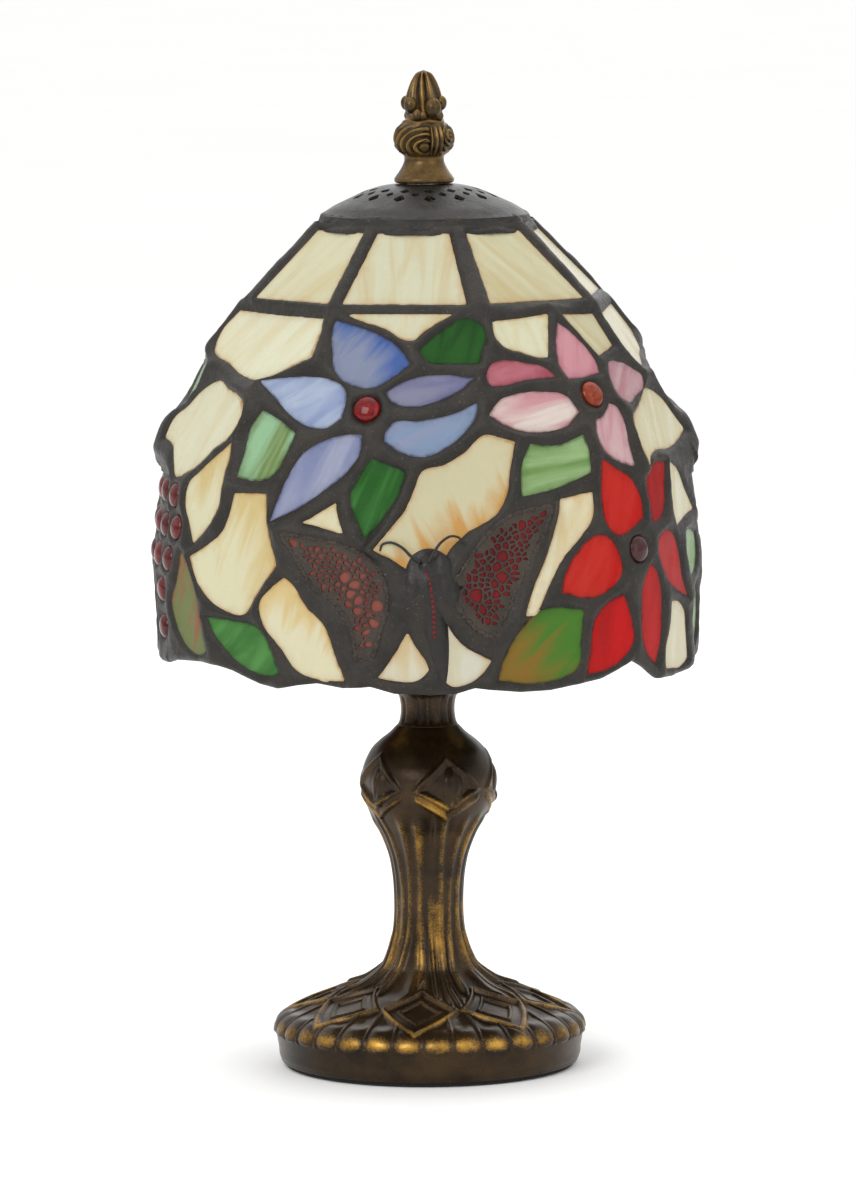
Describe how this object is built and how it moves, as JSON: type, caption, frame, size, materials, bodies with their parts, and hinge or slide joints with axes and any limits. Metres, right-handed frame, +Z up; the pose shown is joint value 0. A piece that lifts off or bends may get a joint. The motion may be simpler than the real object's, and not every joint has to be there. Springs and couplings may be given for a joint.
{
  "type": "stained glass table lamp",
  "caption": "Leaded stained glass dome shade on a harp, over a cast bronze-finished stem and round foot, with a socket, bulb and screw-on finial.",
  "frame": {"origin": "centre of the felt's underside, where the lamp stands on its table", "axes": "+Z up the stem; -Y is the lamp's front, where one butterfly faces; the mains lead's bush is at the rear, +Y"},
  "size_m": [0.209, 0.2124, 0.3785],
  "materials": {
    "antique_bronze": "dark antique bronze patina, gold rubbed through on the raised relief",
    "finial_bronze": "antique bronze, brown in the hollows",
    "felt": "pressed black wool felt",
    "bush_rubber": "black moulded rubber",
    "zinc_steel": "zinc plated",
    "brass": "plain satin brass",
    "liner_card": "pressed insulating card",
    "black_phenolic": "moulded phenolic",
    "bulb_metal": "bright lamp cap metal",
    "bulb_glass": "frosted",
    "dark_solder": "blackened solder, satin and lumpy",
    "dark_brass": "blackened brass sheet",
    "cream_glass": "opalescent cream with amber streaks",
    "blue_glass": "opalescent lilac and blue",
    "pink_glass": "opalescent pink",
    "red_glass": "opalescent red",
    "green_glass": "opalescent green, streaked",
    "streaked_glass": "green glass streaked with red and brown",
    "jewel_glass": "pressed red jewel, polished",
    "grape_glass": "dark red cabochon, polished",
    "wing_glass": "brown-red opalescent"
  },
  "bodies": {
    "base": {"lamp_body": "antique_bronze", "base_felt": "felt", "cord_bush": "bush_rubber", "center_pipe": "zinc_steel", "pipe_nut": "brass", "pipe_washer": "zinc_steel", "neck_tube": "antique_bronze", "neck_washer": "antique_bronze", "harp_saddle": "brass", "socket_cap": "brass", "socket_shell": "brass", "socket_liner": "liner_card", "socket_interior": "black_phenolic", "screw_shell": "brass", "centre_contact": "brass", "terminal_screws": "brass"},
    "switch": {"switch_shaft": "brass", "switch_knob": "black_phenolic"},
    "bulb_tip": {"bulb_contact": "bulb_metal", "bulb_insulator": "black_phenolic"},
    "bulb": {"bulb_cap": "bulb_metal", "bulb_glass": "bulb_glass", "bulb_stem": "bulb_glass", "bulb_filament": "bulb_metal"},
    "harp": {"harp_bow": "brass", "harp_stud": "brass"},
    "ferrule_left": {"ferrule_left": "brass"},
    "ferrule_right": {"ferrule_right": "brass"},
    "seat": {"seat_ring": "brass"},
    "shade": {"vent_cap": "dark_brass", "cap_rim": "dark_solder", "solder_lattice": "dark_solder", "band_panels": "cream_glass", "cream_glass_upper_front": "cream_glass", "cream_glass_upper_back": "cream_glass", "cream_glass_lower_front": "cream_glass", "cream_glass_lower_back": "cream_glass", "blue_petals_front": "blue_glass", "blue_petals_back": "blue_glass", "pink_petals_front": "pink_glass", "pink_petals_back": "pink_glass", "red_petals_front": "red_glass", "red_petals_back": "red_glass", "leaves_front": "green_glass", "leaves_back": "green_glass", "streaked_leaf_front": "streaked_glass", "streaked_leaf_back": "streaked_glass", "flower_jewels_front": "jewel_glass", "flower_jewels_back": "jewel_glass", "grapes_front": "grape_glass", "grapes_back": "grape_glass", "wing_glass_front": "wing_glass", "wing_glass_back": "wing_glass", "wing_filigree_front": "dark_brass", "wing_filigree_back": "dark_brass", "butterfly_body_front": "dark_brass", "butterfly_body_back": "dark_brass", "finial_washer": "zinc_steel"},
    "insert": {"finial_insert": "brass"},
    "finial": {"finial": "finial_bronze"}
  },
  "joints": [
    {"name": "switch_turn", "type": "hinge", "parent": "base", "child": "switch", "pos_m": [0, 0.01, 0.168], "axis": [0, 1, 0], "continuous": true},
    {"name": "bulb_rise", "type": "slide", "parent": "base", "child": "bulb_tip", "axis": [0, 0, 1], "range_m": [0, 0.0182]},
    {"name": "bulb_turn", "type": "hinge", "parent": "bulb_tip", "child": "bulb", "pos_m": [0, 0, 0.19], "axis": [0, 0, 1], "range_deg": [0, 1800]},
    {"name": "harp_lift", "type": "slide", "parent": "base", "child": "harp", "axis": [0, 0, 1], "range_m": [0, 0.02]},
    {"name": "ferrule_left_slide", "type": "slide", "parent": "harp", "child": "ferrule_left", "axis": [0, 0, 1], "range_m": [0, 0.012]},
    {"name": "ferrule_right_slide", "type": "slide", "parent": "harp", "child": "ferrule_right", "axis": [0, 0, 1], "range_m": [0, 0.012]},
    {"name": "shade_lift", "type": "slide", "parent": "harp", "child": "seat", "axis": [0, 0, 1], "range_m": [0, 0.18]},
    {"name": "shade_turn", "type": "hinge", "parent": "seat", "child": "shade", "pos_m": [0, 0, 0.3343], "axis": [0, 0, 1], "continuous": true},
    {"name": "finial_rise", "type": "slide", "parent": "shade", "child": "insert", "axis": [0, 0, 1], "range_m": [0, 0.00752]},
    {"name": "finial_turn", "type": "hinge", "parent": "insert", "child": "finial", "pos_m": [0, 0, 0.342], "axis": [0, 0, 1], "range_deg": [0, 2880]}
  ],
  "couplings": [
    {"joint": "bulb_rise", "follows": "bulb_turn", "m_per_rad": 0.00057773},
    {"joint": "finial_turn", "follows": "finial_rise", "rad_per_m": 6684.2}
  ]
}
